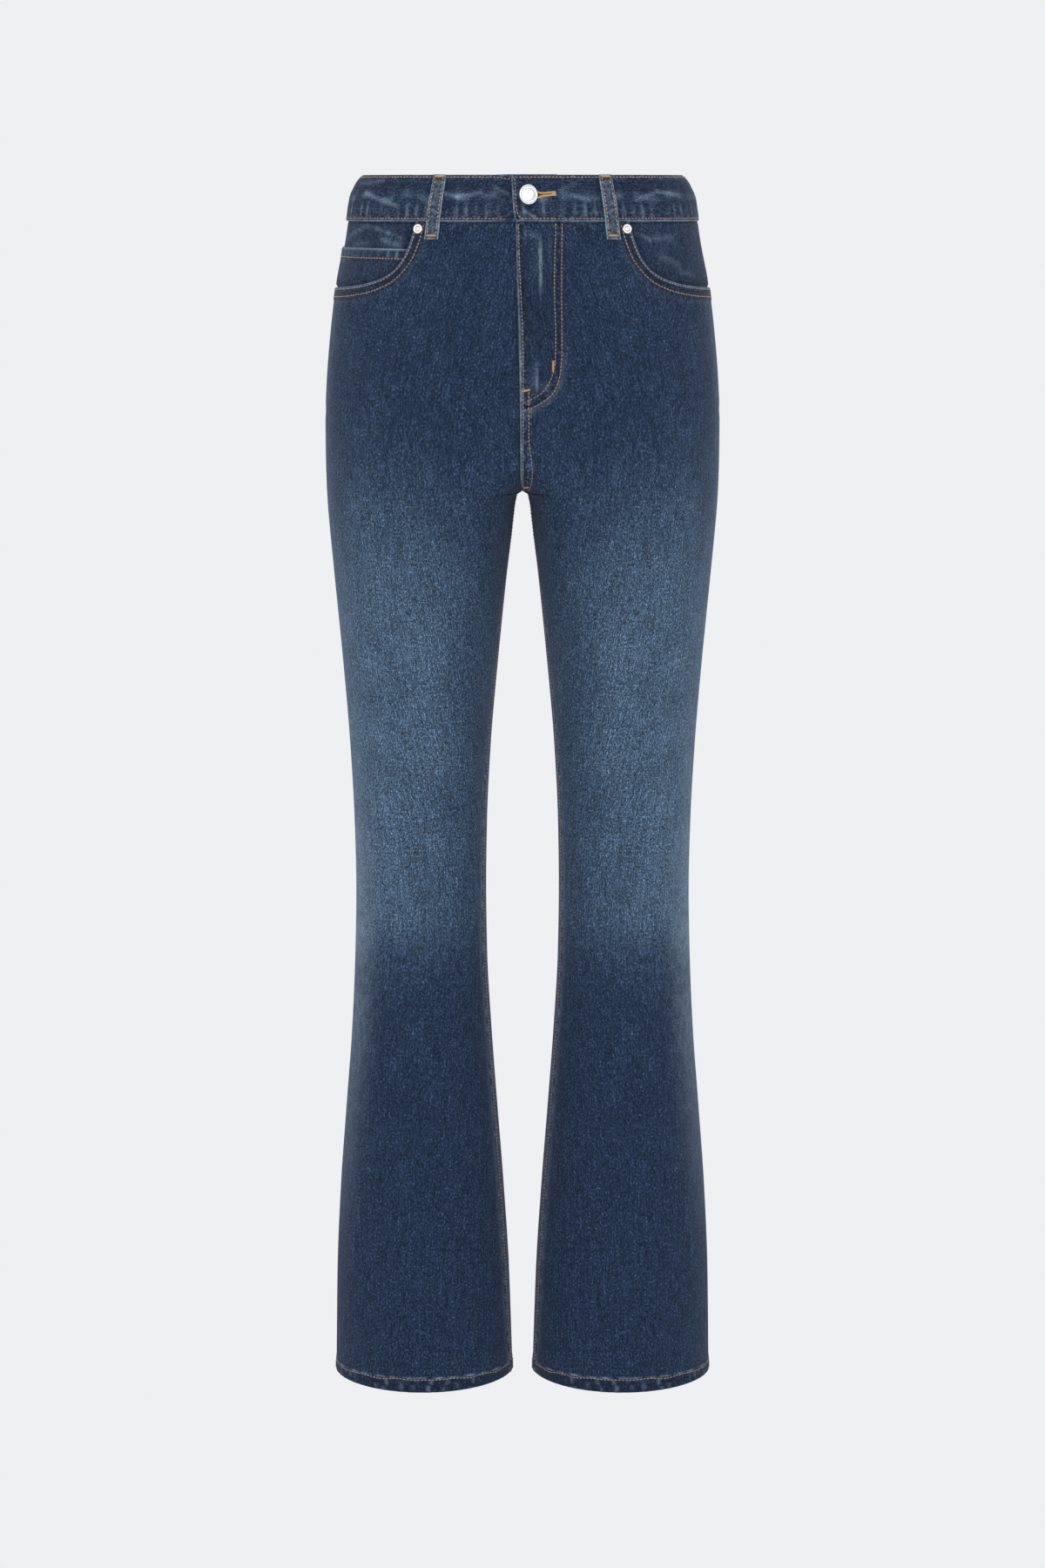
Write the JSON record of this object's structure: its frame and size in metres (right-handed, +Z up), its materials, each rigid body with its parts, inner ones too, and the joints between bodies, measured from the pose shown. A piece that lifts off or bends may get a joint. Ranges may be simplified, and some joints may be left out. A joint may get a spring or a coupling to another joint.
{
  "type": "bootcut jeans",
  "caption": "High-waisted five-pocket jeans in faded blue denim, standing hollow as worn, snug at the knee and a little flared to the hem.",
  "frame": {"origin": "middle of the waist opening, halfway up the waistband, where the wearer's waist holds the jeans", "axes": "+Z up along the legs towards the waist, front faces -Y, wearer's left side at +X"},
  "size_m": [0.3548, 0.2382, 1.1013],
  "materials": {
    "denim": "stone-washed indigo twill, paler on the thighs",
    "denim_trim": "dark indigo twill",
    "nickel": "satin nickel"
  },
  "bodies": {
    "root": {"front_left": "denim", "front_right": "denim", "back_left": "denim", "back_right": "denim", "yoke_left": "denim", "yoke_right": "denim", "waistband": "denim_trim", "fly_shield": "denim_trim", "pocket_facing_left": "denim_trim", "pocket_facing_right": "denim_trim", "coin_pocket": "denim_trim", "back_pocket_left": "denim", "back_pocket_right": "denim", "belt_loop_front_left": "denim_trim", "belt_loop_front_right": "denim_trim", "belt_loop_back_left": "denim_trim", "belt_loop_back_right": "denim_trim", "belt_loop_back_middle": "denim_trim", "waist_button": "nickel", "rivet_left": "nickel", "rivet_right": "nickel"}
  },
  "joints": []
}
